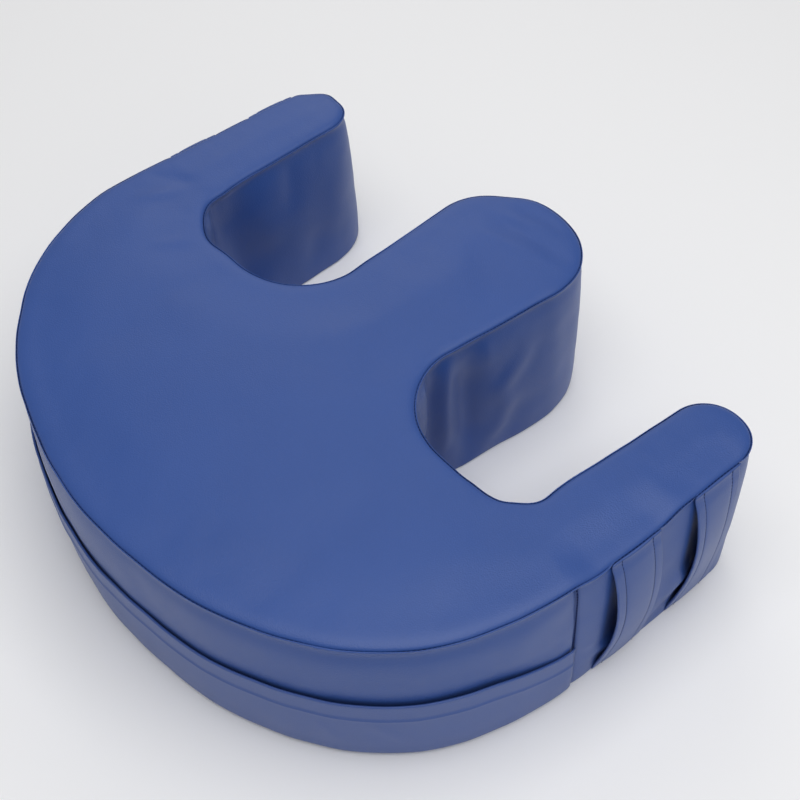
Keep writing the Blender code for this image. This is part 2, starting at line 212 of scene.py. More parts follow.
# Where the wall flares out towards the base, as the arms lean, and where the plan is bent
Bend = namedtuple("Bend", "at_x at_y reach out")
LEANS = (
    Bend(-0.256, 0.202, 0.024, 0.0070),
    Bend(-0.232, 0.155, 0.030, 0.0102),
    Bend(-0.232, 0.110, 0.030, 0.0102),
    Bend(-0.232, 0.065, 0.030, 0.0080),
    Bend(0.050, 0.235, 0.035, 0.0018),
    Bend(0.073, 0.155, 0.040, 0.0060),
    Bend(0.066, 0.085, 0.030, 0.0046),
    Bend(0.300, 0.120, 0.070, 0.0008),
)
BENDS = (
    Bend(-0.291, 0.187, 0.014, -0.0038),
    Bend(-0.222, 0.030, 0.013, 0.0025),
    Bend(-0.180, -0.003, 0.018, -0.0030),
    Bend(0.180, -0.007, 0.011, 0.0020),
    Bend(0.205, 0.000, 0.009, -0.0015),
    Bend(0.225, 0.020, 0.012, -0.0020),
    Bend(-0.262, 0.199, 0.010, -0.0022),
    Bend(-0.006, -0.252, 0.045, 0.0014),
    Bend(-0.100, -0.241, 0.040, -0.0012),
    Bend(0.296, -0.057, 0.055, -0.0030),
    Bend(0.295, 0.190, 0.022, 0.0012),
    Bend(-0.296, -0.060, 0.050, 0.0016),
    Bend(-0.050, 0.234, 0.026, -0.0044),
    Bend(-0.066, 0.130, 0.030, -0.0006),
)

# Where straps pull the seam out and down, on the right (1) or left (-1) side
Roll = namedtuple("Roll", "side low high out drop")
ROLLS = (
    Roll(1, 0.018, 0.074, 0.0018, 0.0034),
    Roll(1, 0.120, 0.162, 0.0006, 0.0012),
)
ROLL_EASE = 0.034
ROLL_FROM = 0.1420

# Soft hollows of the top panel, where the seams draw it in
Hollow = namedtuple("Hollow", "at_x at_y reach depth")
HOLLOWS = (
    Hollow(0.046, 0.028, 0.030, 0.0026),
    Hollow(-0.050, 0.030, 0.028, 0.0020),
    Hollow(0.238, -0.004, 0.026, 0.0020),
    Hollow(-0.238, 0.004, 0.028, 0.0024),
    Hollow(0.012, 0.165, 0.034, 0.0022),
    Hollow(-0.020, 0.205, 0.030, 0.0016),
    Hollow(-0.120, -0.150, 0.060, 0.0014),
    Hollow(0.150, -0.090, 0.055, 0.0014),
)
# Faint creases of the top panel, with paths in plan
TOP_FOLDS = (
    Fold(-0.0013, 0.007, 0.007, ((-0.276, -0.042), (-0.235, 0.025))),
    Fold(-0.0010, 0.007, 0.007, ((-0.207, -0.062), (-0.184, -0.016))),
    Fold(0.0013, 0.007, 0.007, ((-0.298, -0.012), (-0.245, 0.024))),
    Fold(-0.0013, 0.006, 0.006, ((-0.040, 0.210), (0.033, 0.232))),
    Fold(0.0013, 0.006, 0.006, ((-0.043, 0.200), (0.060, 0.219))),
    Fold(-0.0013, 0.006, 0.006, ((-0.040, 0.177), (0.065, 0.206))),
    Fold(0.0010, 0.006, 0.006, ((-0.039, 0.228), (0.027, 0.242))),
)

# The pocket's sewn edges, and two slack creases of its cloth
POCKET_END_Y = -0.005
POCKET_LOW = 0.0040
POCKET_END_REACH = 0.090
POCKET_COVERS_TO = 0.100
POCKET_LOOSE_FROM = 0.260  # distance along the line from which the pocket hugs the wall less
SIDE_SEAM_SLANT = 0.0045  # how much nearer the back a side seam is at the top than at the base
POCKET_FOLDS = (
    Fold(0.0011, 0.006, 0.006, ((0.258, 0.070), (0.276, 0.050), (0.291, 0.030))),
    Fold(0.0009, 0.005, 0.006, ((0.222, 0.060), (0.233, 0.040), (0.240, 0.022))),
    Fold(0.0009, 0.008, 0.008, ((-0.150, 0.030), (-0.132, 0.066))),
    Fold(0.0008, 0.008, 0.008, ((-0.330, 0.064), (-0.312, 0.034))),
)

# Straps: y of the middle at the top and at the bottom, how much wider the lower end lies, and
# the stand-off of each edge half way up
Strap = namedtuple("Strap", "word top_y bottom_y flare back_stand front_stand")
STRAPS = (
    Strap("near_pocket", 0.051, 0.050, 0.003, 0.0125, 0.0075),
    Strap("near_tip", 0.142, 0.135, 0.000, 0.0115, 0.0030),
)
STRAP_LOW = 0.0040
STRAP_HIGH = 0.1655
STRAP_SEWN = 0.0060
STRAP_TUCK = 0.0011  # how far a strap's top end goes in under the top panel's edge
STRAP_RECESS = 0.0020  # how far the seam allowance is drawn in under a strap's top end
STRAP_BOW_POWER = 0.9
STRAP_BOW_LIFT = 1.15  # above 1 the bow is fullest above half way up
GAP = 0.0003


# Sizes and colours that a user would change


class CushionShape(bpy.types.PropertyGroup):
    """Sizes of the foam block and its cover."""

    width: FloatProperty(
        name="Width", description="Across the outer arms, at the seam line", unit="LENGTH",
        default=CUSHION_HIGH[0] - CUSHION_LOW[0] - 2 * WALL_BULGE,
    )
    depth: FloatProperty(
        name="Depth", description="Back to the end of the middle arm, at the seam line",
        unit="LENGTH", default=CUSHION_HIGH[1] - CUSHION_LOW[1] - 2 * WALL_BULGE,
    )
    arm_width: FloatProperty(
        name="Arm width", description="Width of an outer arm", unit="LENGTH", default=0.066,
    )
    middle_arm_width: FloatProperty(
        name="Middle arm width", description="Width of the middle arm at its widest",
        unit="LENGTH", default=0.147,
    )
    crown: FloatProperty(
        name="Crown", description="How much higher the middle of the top stands",
        unit="LENGTH", default=0.0030,
    )
    looseness: FloatProperty(
        name="Looseness", description="How far the relaxed cover may move off its pattern",
        unit="LENGTH", default=0.0018,
    )


class CushionSewing(bpy.types.PropertyGroup):
    """Sizes of the sewn-on pieces and the thread."""

    pocket_high: FloatProperty(
        name="Pocket height", description="Height of the pocket's open edge at the back",
        unit="LENGTH", default=0.094,
    )
    pocket_high_at_ends: FloatProperty(
        name="Pocket height at ends", description="Height of its open edge at the side seams",
        unit="LENGTH", default=0.074,
    )
    pocket_stand: FloatProperty(
        name="Pocket opening", description="How far the open edge stands off the wall",
        unit="LENGTH", default=0.0025,
    )
    pocket_hem: FloatProperty(
        name="Pocket hem", description="Depth of the hem along the open edge",
        unit="LENGTH", default=0.023,
    )
    hem_ridge: FloatProperty(
        name="Hem ridge", description="How far the hem's lower edge stands out",
        unit="LENGTH", default=0.0012,
    )
    strap_width: FloatProperty(
        name="Strap width", description="Width of a strap handle", unit="LENGTH", default=0.051,
    )
    strap_margin: FloatProperty(
        name="Strap stitching", description="Distance of a strap's stitching from its edge",
        unit="LENGTH", default=0.0092,
    )
    cloth: FloatProperty(
        name="Band thickness", description="Thickness of a doubled band", unit="LENGTH",
        default=0.0022,
    )
    stitch_pitch: FloatProperty(
        name="Stitch pitch", description="Distance from stitch to stitch", unit="LENGTH",
        default=0.0037,
    )
    stitch_length: FloatProperty(
        name="Stitch length", description="Length of thread that shows in a stitch",
        unit="LENGTH", default=0.0030,
    )
    thread: FloatProperty(
        name="Thread", description="Thickness of the thread", unit="LENGTH", default=0.0006,
    )
    seed: IntProperty(name="Seed", description="Seed of the small unevenness", default=SEED)


class CushionLooks(bpy.types.PropertyGroup):
    """Colours and surface of the leatherette."""

    cover_colour: FloatVectorProperty(
        name="Cover", description="Colour of the cover", subtype="COLOR", size=3,
        default=(0.020, 0.067, 0.270), min=0.0, max=1.0,
    )
    # Bands: their own blue, plus painted sheen. This colour is lighter and greyer than the cover's
    # to stand for the gloss where the bands face up.
    band_colour_and_sheen: FloatVectorProperty(
        name="Bands", description="Colour of the straps and the pocket", subtype="COLOR",
        size=3, default=(0.030, 0.075, 0.270), min=0.0, max=1.0,
    )
    thread_colour: FloatVectorProperty(
        name="Thread", description="Colour of the stitching", subtype="COLOR", size=3,
        default=(0.006, 0.013, 0.070), min=0.0, max=1.0,
    )
    grain: FloatProperty(
        name="Grain size", description="Size of a pebble of the grain", unit="LENGTH",
        default=0.0011,
    )
    grain_depth: FloatProperty(
        name="Grain depth", description="Depth of the grain", unit="LENGTH", default=0.00013,
    )


class CushionStudio(bpy.types.PropertyGroup):
    """Camera and light."""

    azimuth: FloatProperty(
        name="Azimuth", description="Camera's angle round the cushion", subtype="ANGLE",
        default=math.radians(52.54),
    )
    elevation: FloatProperty(
        name="Elevation", description="Camera's angle above the floor", subtype="ANGLE",
        default=math.radians(50.73),
    )
    roll: FloatProperty(
        name="Roll", description="Camera's tilt", subtype="ANGLE", default=math.radians(-2.16),
    )
    distance: FloatProperty(
        name="Distance", description="Camera to the point it looks at", unit="LENGTH",
        default=1.3262,
    )
    lens: FloatProperty(name="Lens", description="Focal length in millimetres", default=61.16)
    ambient: FloatProperty(
        name="Ambient", description="Brightness of the white surroundings", default=0.36,
    )


GROUPS = {
    "cushion_shape": CushionShape,
    "cushion_sewing": CushionSewing,
    "cushion_looks": CushionLooks,
    "cushion_studio": CushionStudio,
}


# The seam line


def superarc(centre, reach, start, end, power=2.0, count=180):
    """Points on a superellipse between two angles in degrees."""
    angle = np.radians(np.linspace(start, end, count))
    c, s = np.cos(angle), np.sin(angle)
    x = centre[0] + reach[0] * np.sign(c) * np.abs(c) ** (2 / power)
    y = centre[1] + reach[1] * np.sign(s) * np.abs(s) ** (2 / power)
    return np.column_stack((x, y))


def half_plan(shape):
    """The right half of the seam line, from the middle of the back to the middle arm's end."""
    half_width, half_depth = shape.width / 2, shape.depth / 2
    outer = half_width - ARM_TAPER
    inner = outer - shape.arm_width
    radius = shape.arm_width / 2
    back = superarc(
        (0, SIDE_START_Y), (half_width, SIDE_START_Y + half_depth), -90, 0, BACK_POWER, 600
    )
    arm_end = superarc((inner + radius, ARM_END_Y - radius), (radius, radius), 0, 180)
    outer_centre = (SLOT_OUTER_X - SLOT_OUTER_CORNER[0], SLOT_FLOOR_Y + SLOT_OUTER_CORNER[1])
    inner_centre = (SLOT_INNER_X + SLOT_INNER_CORNER[0], SLOT_FLOOR_Y + SLOT_INNER_CORNER[1])
    slot_outer = superarc(outer_centre, SLOT_OUTER_CORNER, 0, -90)
    slot_inner = superarc(inner_centre, SLOT_INNER_CORNER, -90, -180)
    middle_reach = (shape.middle_arm_width / 2, MIDDLE_ARM_ROUND)
    middle = superarc(
        (0, half_depth - MIDDLE_ARM_ROUND), middle_reach, 0, 90, MIDDLE_ARM_POWER
    )
    return np.vstack((back, arm_end, slot_outer, slot_inner, middle))


class SeamLine:
    """The closed seam line, read by the distance along it from the middle of the back."""

    STEP = 0.001

    def __init__(self, shape):
        half = half_plan(shape)
        mirrored = (half * (-1, 1))[::-1][1:-1]
        loop = np.vstack((half, mirrored)) + (0, MIDDLE_Y)
        closed = np.vstack((loop, loop[:1]))
        lengths = np.hypot(*np.diff(closed, axis=0).T)
        keep = np.append(True, lengths > 1e-7)
        closed, lengths = closed[keep], lengths[lengths > 1e-7]
        travelled = np.append(0, np.cumsum(lengths))
        self.length = travelled[-1]
        count = round(self.length / self.STEP)
        self.s = np.linspace(0, self.length, count + 1)
        x = np.interp(self.s, travelled, closed[:, 0])
        y = np.interp(self.s, travelled, closed[:, 1])
        along = np.column_stack(
            (np.roll(x[:-1], -1) - np.roll(x[:-1], 1), np.roll(y[:-1], -1) - np.roll(y[:-1], 1))
        )
        along /= np.hypot(*along.T)[:, None]
        normal = np.column_stack((along[:, 1], -along[:, 0]))
        normal = np.vstack((normal, normal[:1]))
        self.columns = (x, y, normal[:, 0], normal[:, 1])

    def at(self, s):
        """Place and outward direction at distances along the line."""
        s = np.mod(s, self.length)
        x, y, nx, ny = (np.interp(s, self.s, column) for column in self.columns)
        return np.stack((x, y), -1), np.stack((nx, ny), -1)

    def nearest(self, x, y):
        """The distance along the line at which it passes nearest a place."""
        away = np.hypot(self.columns[0] - x, self.columns[1] - y)
        return self.s[int(np.argmin(away))]

    def side(self, y, side):
        """The distance along the line of a height y on the right (1) or left (-1) outer side."""
        s = self.nearest(side * CUSHION_HIGH[0], y + MIDDLE_Y)
        for _ in range(3):
            place, _ = self.at(s)
            s += side * (y + MIDDLE_Y - place[1])
        return s


def smooth(share):
    """Eases from 0 to 1."""
    share = np.clip(share, 0, 1)
    return share * share * (3 - 2 * share)


def uneven(s, length, waves, size, seed):
    """A smooth closed unevenness along the line, from a few waves."""
    rng = np.random.default_rng(seed)
    total = np.zeros(np.shape(s))
    for count in waves:
        phase = rng.uniform(0, 2 * math.pi)
        total += rng.uniform(0.5, 1.0) * np.sin(2 * math.pi * count * s / length + phase)
    return size * total / math.sqrt(len(waves))


def bent(place, bends):
    """How far a list of bends moves places on the line outwards."""
    total = np.zeros(place.shape[:-1])
    for bend in bends:
        away = np.hypot(place[..., 0] - bend.at_x, place[..., 1] - bend.at_y - MIDDLE_Y)
        total += bend.out * np.exp(-((away / bend.reach) ** 2))
    return total


def seam_waver(s, line):
    """How far the sewn edge wanders from its pattern."""
    slow = uneven(s, line.length, (9, 13, 19, 26), 0.0004, SEED)
    quick = uneven(s, line.length, (41, 53, 71), 0.00018, SEED + 1)
    return slow + quick + bent(line.at(s)[0], BENDS)


def roll(s, line):
    """How far straps pull the seam out and down."""
    s = np.mod(s, line.length)
    out, drop = np.zeros(np.shape(s)), np.zeros(np.shape(s))
    for pull in ROLLS:
        low, high = sorted((line.side(pull.low, pull.side), line.side(pull.high, pull.side)))
        share = smooth(np.minimum(s - low, high - s) / ROLL_EASE + 1)
        out, drop = out + pull.out * share, drop + pull.drop * share
    return out, drop


def wall_outset(height):
    """How far the plain wall stands outside the seam line."""
    rows = [(row.height, row.outset) for row in BASE_ROWS if row.height > 0]
    rows += list(zip(WALL_LEVELS, WALL_OUTSETS))[1:]
    rows += [(row.height, row.outset) for row in SEAM_ROWS[:6]]
    return np.interp(height, *np.array(rows).T)


def beside(along, up, fold):
    """1 on a fold's path, fading to 0 beside it and towards its ends."""
    nearest = np.full(along.shape, 9.0)
    behind = np.zeros(along.shape, bool)
    share = np.zeros(along.shape)
    legs = np.diff(np.array(fold.path), axis=0)
    lengths = np.hypot(*legs.T)
    gone = 0.0
    for start, leg, length in zip(fold.path, legs, lengths):
        a, b = along - start[0], up - start[1]
        t = np.clip((a * leg[0] + b * leg[1]) / length**2, 0, 1)
        away = np.hypot(a - t * leg[0], b - t * leg[1])
        nearer = away < nearest
        nearest = np.where(nearer, away, nearest)
        behind = np.where(nearer, a * leg[1] - b * leg[0] > 0, behind)
        share = np.where(nearer, gone + t * length, share)
        gone += length
    share = share / gone
    width = np.where(behind, fold.after, fold.before)
    ends = 0.12 + 0.88 * smooth(np.minimum(share, 1 - share) / 0.35)
    return np.exp(-((nearest / width) ** 2)) * ends


def fold_depth(s, height, line, folds=FOLDS):
    """How far folds push the wall in."""
    s, height = np.broadcast_arrays(s, height)
    depth = np.zeros(s.shape)
    for fold in folds:
        first = fold.path[0][0]
        near = np.mod(s - first + line.length / 2, line.length) - line.length / 2 + first
        depth += fold.depth * beside(near, height, fold)
    free = smooth((FOLDS_HELD_FROM - height) / 0.010) * smooth((height - 0.0008) / 0.008)
    return depth * free


def lean_out(s, height, line):
    """How far leaning walls stand out towards the base."""
    return bent(line.at(s)[0], LEANS) * np.clip(1 - height / LEANS_FROM, 0, 1)


def side_seam_at(height, side, line):
    """The distance along the line of a side seam, at the pocket's end."""
    slant = SIDE_SEAM_SLANT * (0.5 - height / SEAM_ROWS[-1].height)
    return line.side(POCKET_END_Y, side) + side * slant


def side_seam_depth(s, height, line):
    """The narrow pulled-in seams at the two ends of the pocket."""
    depth = np.zeros(np.broadcast(s, height).shape)
    for side in (1, -1):
        away = np.abs(s - side_seam_at(height, side, line))
        draw = 0.0044 * np.exp(-((away / 0.0012) ** 2)) + 0.0014 * np.exp(-((away / 0.009) ** 2))
        depth = depth + draw * smooth((0.1650 - height) / 0.004)
    return depth


def section_point(s, outset, height, line):
    """Points of the cover's section, rolled over where straps pull at the seam."""
    place, normal = line.at(s)
    out, drop = roll(s, line)
    near_top = smooth((height - ROLL_FROM) / (SEAM_ROWS[4].height - ROLL_FROM))
    reach = outset + seam_waver(s, line) + out * near_top
    z = height - drop * near_top
    return np.concatenate((place + normal * reach[..., None], z[..., None]), -1)


def plain_wall(s, height, extra, line):
    """Points on the wall without its folds, further out by extra."""
    return section_point(s, wall_outset(height) + extra, height, line)
# Mesh helpers


def link(name, mesh):
    """A new object at the origin, shown in the scene."""
    piece = bpy.data.objects.new(name, mesh)
    bpy.context.scene.collection.objects.link(piece)
    return piece


def flattened(piece):
    """Bakes an object's modifiers into its mesh."""
    depsgraph = bpy.context.evaluated_depsgraph_get()
    mesh = bpy.data.meshes.new_from_object(piece.evaluated_get(depsgraph))
    piece.modifiers.clear()
    old = piece.data
    piece.data = mesh
    mesh.name = piece.name
    bpy.data.meshes.remove(old)


def swept(name, loops):
    """A closed mesh through loops of points, one loop to a row, capped at both ends."""
    rows, count = len(loops), len(loops[0])
    faces = [
        (r * count + c, r * count + (c + 1) % count, (r + 1) * count + (c + 1) % count,
         (r + 1) * count + c)
        for r in range(rows - 1)
        for c in range(count)
    ]
    half = count // 2
    for start, turn in ((0, 1), ((rows - 1) * count, -1)):
        for k in range(half - 1):
            quad = (k, k + 1, count - 2 - k, count - 1 - k)
            faces.append(tuple(start + i for i in quad[::turn]))
    mesh = bpy.data.meshes.new(name)
    mesh.from_pydata(np.concatenate(loops).tolist(), [], faces)
    bm = bmesh.new()
    bm.from_mesh(mesh)
    bmesh.ops.recalc_face_normals(bm, faces=bm.faces)
    bm.to_mesh(mesh)
    bm.free()
    mesh.shade_smooth()
    return mesh


def inside_line(points, line):
    """Whether each point lies inside a closed line."""
    x, y = points[:, 0], points[:, 1]
    inside = np.zeros(len(points), bool)
    for (ax, ay), (bx, by) in zip(line, np.roll(line, -1, axis=0)):
        crosses = (ay > y) != (by > y)
        with np.errstate(divide="ignore", invalid="ignore"):
            inside ^= crosses & (x < ax + (y - ay) * (bx - ax) / (by - ay))
    return inside


def nearest_on(points, line):
    """Distance of each point from the nearest point of a line, and that point's number."""
    gaps = [np.hypot(*(line - point).T) for point in points]
    return np.array([gap.min() for gap in gaps]), np.array([gap.argmin() for gap in gaps])


# Finishes


def grain_group():
    """Shader group: pebbled leatherette grain, slow drift of colour and uneven gloss."""
    name = "leatherette_grain"
    if name in bpy.data.node_groups:
        return bpy.data.node_groups[name]
    tree = bpy.data.node_groups.new(name, "ShaderNodeTree")
    socket = tree.interface.new_socket
    socket("Colour", in_out="INPUT", socket_type="NodeSocketColor")
    socket("Grain Scale", in_out="INPUT", socket_type="NodeSocketFloat")
    socket("Drift", in_out="INPUT", socket_type="NodeSocketFloat")
    socket("Gloss", in_out="INPUT", socket_type="NodeSocketFloat")
    socket("Colour", in_out="OUTPUT", socket_type="NodeSocketColor")
    socket("Roughness", in_out="OUTPUT", socket_type="NodeSocketFloat")
    socket("Height", in_out="OUTPUT", socket_type="NodeSocketFloat")
    nodes, links = tree.nodes, tree.links
    given = nodes.new("NodeGroupInput")
    result = nodes.new("NodeGroupOutput")
    place = nodes.new("ShaderNodeTexCoord")

    pebbles = nodes.new("ShaderNodeTexVoronoi")
    pebbles.feature = "SMOOTH_F1"
    pebbles.inputs["Smoothness"].default_value = 0.6
    links.new(place.outputs["Object"], pebbles.inputs["Vector"])
    links.new(given.outputs["Grain Scale"], pebbles.inputs["Scale"])
    fine = nodes.new("ShaderNodeTexNoise")
    fine.inputs["Detail"].default_value = 3.0
    fine.inputs["Scale"].default_value = 2400.0
    links.new(place.outputs["Object"], fine.inputs["Vector"])
    height = nodes.new("ShaderNodeMath")
    height.operation = "MULTIPLY_ADD"
    height.inputs[1].default_value = 0.35
    links.new(fine.outputs["Fac"], height.inputs[0])
    links.new(pebbles.outputs["Distance"], height.inputs[2])
    links.new(height.outputs[0], result.inputs["Height"])

    slow = nodes.new("ShaderNodeTexNoise")
    slow.inputs["Scale"].default_value = 9.0
    slow.inputs["Detail"].default_value = 4.0
    slow.inputs["Roughness"].default_value = 0.6
    links.new(place.outputs["Object"], slow.inputs["Vector"])
    centred = nodes.new("ShaderNodeMath")
    centred.operation = "SUBTRACT"
    centred.inputs[1].default_value = 0.5
    links.new(slow.outputs["Fac"], centred.inputs[0])
    drift = nodes.new("ShaderNodeMath")
    drift.operation = "MULTIPLY_ADD"
    drift.inputs[2].default_value = 1.0
    links.new(centred.outputs[0], drift.inputs[0])
    links.new(given.outputs["Drift"], drift.inputs[1])
    shade = nodes.new("ShaderNodeMath")
    shade.operation = "MULTIPLY_ADD"
    shade.inputs[1].default_value = 0.10
    links.new(pebbles.outputs["Distance"], shade.inputs[0])
    links.new(drift.outputs[0], shade.inputs[2])
    tint = nodes.new("ShaderNodeVectorMath")
    tint.operation = "SCALE"
    links.new(given.outputs["Colour"], tint.inputs[0])
    links.new(shade.outputs[0], tint.inputs["Scale"])
    links.new(tint.outputs[0], result.inputs["Colour"])

    gloss = nodes.new("ShaderNodeMath")
    gloss.operation = "MULTIPLY_ADD"
    gloss.inputs[1].default_value = 0.16
    links.new(centred.outputs[0], gloss.inputs[0])
    links.new(given.outputs["Gloss"], gloss.inputs[2])
    links.new(gloss.outputs[0], result.inputs["Roughness"])
    return tree


def leatherette(name, colour, roughness, looks):
    """Satin blue leatherette with a fine grain."""
    made = bpy.data.materials.new(name)
    made.use_nodes = True
    nodes, links = made.node_tree.nodes, made.node_tree.links
    shader = nodes["Principled BSDF"]
    group = nodes.new("ShaderNodeGroup")
    group.node_tree = grain_group()
    group.inputs["Colour"].default_value = (*colour, 1.0)
    group.inputs["Grain Scale"].default_value = 1.0 / looks.grain
    group.inputs["Drift"].default_value = 0.16
    group.inputs["Gloss"].default_value = roughness
    bump = nodes.new("ShaderNodeBump")
    bump.inputs["Strength"].default_value = 1.0
    bump.inputs["Distance"].default_value = looks.grain_depth
    links.new(group.outputs["Colour"], shader.inputs["Base Color"])
    links.new(group.outputs["Roughness"], shader.inputs["Roughness"])
    links.new(group.outputs["Height"], bump.inputs["Height"])
    links.new(bump.outputs["Normal"], shader.inputs["Normal"])
    shader.inputs["Specular IOR Level"].default_value = 0.5
    shader.inputs["Sheen Weight"].default_value = 0.04
    shader.inputs["Sheen Roughness"].default_value = 0.5
    made.diffuse_color = (*colour, 1.0)
    return made


def thread_finish(looks):
    """Dark polyester sewing thread, with the slant of its twist."""
    made = bpy.data.materials.new("thread")
    made.use_nodes = True
    nodes, links = made.node_tree.nodes, made.node_tree.links
    shader = nodes["Principled BSDF"]
    place = nodes.new("ShaderNodeTexCoord")
    twist = nodes.new("ShaderNodeTexWave")
    twist.bands_direction = "DIAGONAL"
    twist.inputs["Scale"].default_value = 700.0
    links.new(place.outputs["Object"], twist.inputs["Vector"])
    ramp = nodes.new("ShaderNodeValToRGB")
    ramp.color_ramp.elements[0].color = (*(0.6 * c for c in looks.thread_colour), 1.0)
    ramp.color_ramp.elements[1].color = (*(1.4 * c for c in looks.thread_colour), 1.0)
    links.new(twist.outputs["Fac"], ramp.inputs["Fac"])
    links.new(ramp.outputs["Color"], shader.inputs["Base Color"])
    bump = nodes.new("ShaderNodeBump")
    bump.inputs["Strength"].default_value = 0.4
    bump.inputs["Distance"].default_value = 0.0001
    links.new(twist.outputs["Fac"], bump.inputs["Height"])
    links.new(bump.outputs["Normal"], shader.inputs["Normal"])
    shader.inputs["Roughness"].default_value = 0.8
    shader.inputs["Specular IOR Level"].default_value = 0.2
    return made


# The cover


def cover_steps(line):
    """Distances along the line for the cover's columns, closer in the slots and at seams."""
    s, values = 0.0, []
    seams = [line.side(POCKET_END_Y, side) for side in (1, -1)]
    while s < line.length - 0.002:
        values.append(s)
        place, _ = line.at(s)
        if place[1] < POCKET_END_Y and abs(place[0]) < 0.29 and s % 1.8 < 0.43:
            s += 0.0095
        elif abs(place[0]) > 0.29:
            s += 0.0058
        else:
            s += 0.0047
    near = np.array([-0.0055, -0.0030, -0.0014, 0.0, 0.0014, 0.0030, 0.0055])
    for seam in seams:
        values = [v for v in values if abs(v - seam) > 0.0085]
        values += list(seam + near)
    return np.array(sorted(values))


def cover_rows():
    """The rows of the cover's section, from the rim of the base to the top panel."""
    rows = list(BASE_ROWS)
    for height in np.linspace(WALL_FREE_LOW, WALL_FREE_HIGH, WALL_FREE_ROWS):
        rows.append(Row(float(np.interp(height, WALL_LEVELS, WALL_OUTSETS)), height, False))
    return rows + list(SEAM_ROWS) + list(TOP_ROWS)


def sewn_strap(s, line, width):
    """1 where a strap's top end is sewn into the seam."""
    share = np.zeros(np.shape(s))
    for side in (1, -1):
        for strap in STRAPS:
            away = np.abs(s - line.side(strap.top_y, side))
            share = np.maximum(share, smooth((width / 2 + 0.001 - away) / 0.003))
    return share


def top_height(points, rim, s, shape, line):
    """Height of the top panel's middle at plan points."""
    away, number = nearest_on(points, rim)
    lift = smooth(away / 0.060)
    height = TOP_ROWS[-1].height + shape.crown * lift
    height -= roll(s[number], line)[1] * np.exp(-((away / 0.022) ** 2))
    x, y = points[:, 0], points[:, 1] - MIDDLE_Y
    for hollow in HOLLOWS:
        far = np.hypot(x - hollow.at_x, y - hollow.at_y)
        height -= hollow.depth * np.exp(-((far / hollow.reach) ** 2)) * lift
    return height


def fill(rim, step, clear):
    """Triangles over the inside of a closed line, with a grid of points well inside it."""
    low, high = rim.min(axis=0), rim.max(axis=0)
    xs = np.arange(low[0], high[0], step)
    ys = np.arange(low[1], high[1], step)
    grid = np.array(np.meshgrid(xs, ys)).reshape(2, -1).T
    grid = grid[inside_line(grid, rim)]
    grid = grid[nearest_on(grid, rim)[0] > clear]
    count = len(rim)
    edges = [(i, (i + 1) % count) for i in range(count)]
    points = [Vector(p) for p in np.vstack((rim, grid))]
    points, _, faces, _, _, _ = delaunay_2d_cdt(points, edges, [], 1, 1e-7)
    points = np.array(points)
    centres = np.array([points[face].mean(axis=0) for face in faces])
    kept = inside_line(centres, rim)
    return points, [face for face, keep in zip(faces, kept) if keep]


def cover_mesh(shape, strap_width, line):
    """The cover as one closed mesh, and how far each of its points may settle."""
    s = cover_steps(line)
    count = len(s)
    recess = sewn_strap(s, line, strap_width)
    left, right = pocket_span(line)
    covered = (s < right) | (s > left + line.length)
    points, slack = [], []
    rows = cover_rows()
    for row in rows:
        height = np.full(count, row.height)
        outset = row.outset + lean_out(s, height, line)
        if row.height > 0:
            outset = outset - side_seam_depth(s, height, line) - fold_depth(s, height, line)
        if row in SEAM_ROWS[2:8]:
            outset = outset - STRAP_RECESS * recess
        points.append(section_point(s, outset, height, line))
        free = np.full(count, 0.0 if row.held else 1.0)
        if row.height < POCKET_COVERS_TO:
            free[covered] *= 0.25
        slack += free.tolist()
    faces = [
        (r * count + c, r * count + (c + 1) % count, (r + 1) * count + (c + 1) % count,
         (r + 1) * count + c)
        for r in range(len(rows) - 1)
        for c in range(count)
    ]
    rim = points[-1][:, :2]
    top, top_faces = fill(rim, 0.0085, 0.0055)
    start = (len(rows) - 1) * count
    faces += [tuple(start + i for i in face) for face in top_faces]
    inner = top[count:]
    points.append(np.column_stack((inner, top_height(inner, rim, s, shape, line))))
    slack += [1.0] * len(inner)
    base_rim = points[0][:, :2]
    base, base_faces = fill(base_rim, 0.030, 0.015)
    extra = sum(len(part) for part in points)
    number = list(range(count)) + [extra + i for i in range(len(base) - count)]
    faces += [tuple(number[i] for i in reversed(face)) for face in base_faces]
    points.append(np.column_stack((base[count:], np.zeros(len(base) - count))))
    slack += [0.0] * (len(base) - count)
    mesh = bpy.data.meshes.new("cover")
    mesh.from_pydata(np.vstack(points).tolist(), [], faces)
    return mesh, np.array(slack)


def relaxed(piece, slack, cap):
    """Lets the cover settle as cloth over its filling, and keeps how far it may move to cap."""
    mesh = piece.data
    rest = np.array([v.co for v in mesh.vertices])
    trial = link("relaxing", mesh.copy())
    group = trial.vertex_groups.new(name="held")
    group.add([int(i) for i in np.nonzero(slack == 0)[0]], 1.0, "REPLACE")
    cloth = trial.modifiers.new("relax", "CLOTH")
    settings = cloth.settings
    settings.quality = 4
    settings.mass = 0.4
    settings.tension_stiffness = 30.0
    settings.compression_stiffness = 30.0
    settings.shear_stiffness = 15.0
    settings.bending_stiffness = 4.0
    settings.air_damping = 4.0
    settings.vertex_group_mass = "held"
    settings.shrink_min = -0.012
    settings.use_pressure = True
    settings.uniform_pressure_force = 1.5
    settings.effector_weights.gravity = 0.0
    scene = bpy.context.scene
    for number in range(1, 15):
        scene.frame_set(number)
    depsgraph = bpy.context.evaluated_depsgraph_get()
    settled = trial.evaluated_get(depsgraph).to_mesh()
    moved = np.array([v.co for v in settled.vertices]) - rest
    scene.frame_set(1)
    bpy.data.objects.remove(trial)
    far = np.linalg.norm(moved, axis=1)
    usual = np.percentile(far[slack == 1], 98)
    moved *= cap / max(usual, cap)
    far = np.linalg.norm(moved, axis=1)
    moved *= (slack * np.minimum(1, 1.4 * cap / np.maximum(far, 1e-9)))[:, None]
    mesh.vertices.foreach_set("co", (rest + moved).ravel())


